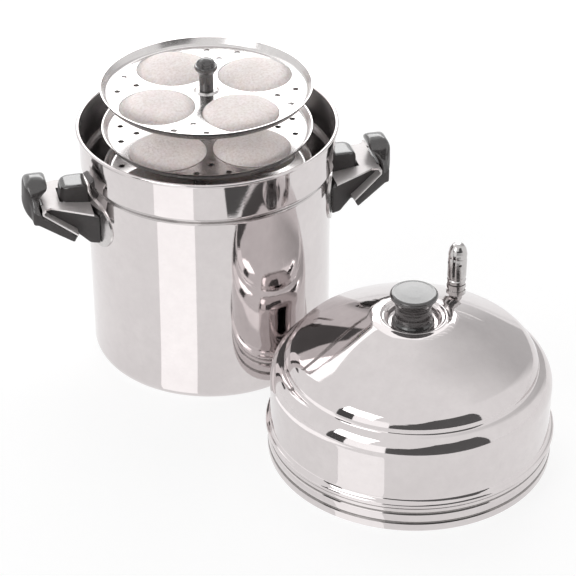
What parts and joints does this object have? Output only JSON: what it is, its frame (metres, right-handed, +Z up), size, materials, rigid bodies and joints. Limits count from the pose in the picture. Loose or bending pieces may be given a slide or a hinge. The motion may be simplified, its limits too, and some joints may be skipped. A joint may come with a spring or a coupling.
{
  "type": "idli steamer",
  "caption": "Tall steel steamer pot with side handles, a lift-out rack of moulded cake plates and a domed lid with a vent weight.",
  "frame": {"origin": "middle of the pot's underside, on the surface it stands on", "axes": "+Z up out of the pot, the two side handles along X, the lid stands towards +X and -Y"},
  "size_m": [0.4459, 0.468, 0.3039],
  "materials": {
    "polished_steel": "mirror-polished stainless steel sheet",
    "satin_steel": "plain stainless steel, lightly brushed",
    "black_bakelite": "glossy black phenolic moulding",
    "brass_insert": "turned brass",
    "weight_steel": "turned and polished steel",
    "steamed_rice": "matt off-white, slightly grainy"
  },
  "bodies": {
    "pot": {"pot_body": "polished_steel", "bracket_left": "satin_steel", "bracket_right": "satin_steel", "handle_left": "black_bakelite", "handle_right": "black_bakelite", "handle_screws": "satin_steel"},
    "rack": {"rack_legs": "polished_steel", "rack_rod": "polished_steel", "rod_nut": "satin_steel", "spacer_1": "polished_steel", "spacer_2": "polished_steel", "spacer_3": "polished_steel", "spacer_4": "polished_steel", "spacer_5": "polished_steel"},
    "rack_knob": {"rack_knob": "black_bakelite", "rack_knob_bush": "brass_insert"},
    "lid": {"lid_shell": "polished_steel", "lid_seat_ring": "satin_steel", "lid_knob": "black_bakelite", "lid_knob_screw": "satin_steel", "lid_knob_washer": "satin_steel", "vent_tube": "satin_steel", "vent_nut": "satin_steel"},
    "vent_weight": {"vent_weight": "weight_steel"},
    "plate_1": {"plate_1": "polished_steel", "idlis_1": "steamed_rice"},
    "plate_2": {"plate_2": "polished_steel", "idlis_2": "steamed_rice"},
    "plate_3": {"plate_3": "polished_steel", "idlis_3": "steamed_rice"},
    "plate_4": {"plate_4": "polished_steel", "idlis_4": "steamed_rice"},
    "plate_5": {"plate_5": "polished_steel", "idlis_5": "steamed_rice"},
    "plate_6": {"plate_6": "polished_steel", "idlis_6": "steamed_rice"}
  },
  "joints": [
    {"name": "rack_lift", "type": "slide", "parent": "pot", "child": "rack", "axis": [0, 0, 1], "range_m": [0, 0.3]},
    {"name": "plate_1_turn", "type": "hinge", "parent": "rack", "child": "plate_1", "pos_m": [0, 0, 0.0635], "axis": [0, 0, 1], "continuous": true},
    {"name": "plate_2_turn", "type": "hinge", "parent": "rack", "child": "plate_2", "pos_m": [0, 0, 0.105], "axis": [0, 0, 1], "continuous": true},
    {"name": "plate_3_turn", "type": "hinge", "parent": "rack", "child": "plate_3", "pos_m": [0, 0, 0.1465], "axis": [0, 0, 1], "continuous": true},
    {"name": "plate_4_turn", "type": "hinge", "parent": "rack", "child": "plate_4", "pos_m": [0, 0, 0.188], "axis": [0, 0, 1], "continuous": true},
    {"name": "plate_5_turn", "type": "hinge", "parent": "rack", "child": "plate_5", "pos_m": [0, 0, 0.2295], "axis": [0, 0, 1], "continuous": true},
    {"name": "plate_6_turn", "type": "hinge", "parent": "rack", "child": "plate_6", "pos_m": [0, 0, 0.271], "axis": [0, 0, 1], "continuous": true},
    {"name": "rack_knob_unscrew", "type": "hinge", "parent": "rack", "child": "rack_knob", "pos_m": [0, 0, 0.28], "axis": [0, 0, 1], "continuous": true},
    {"name": "lid_lift", "type": "slide", "parent": "pot", "child": "lid", "axis": [0, 0, 1], "range_m": [0, 0.25]},
    {"name": "vent_weight_lift", "type": "slide", "parent": "lid", "child": "vent_weight", "axis": [0, 0, 1], "range_m": [0, 0.03]}
  ]
}
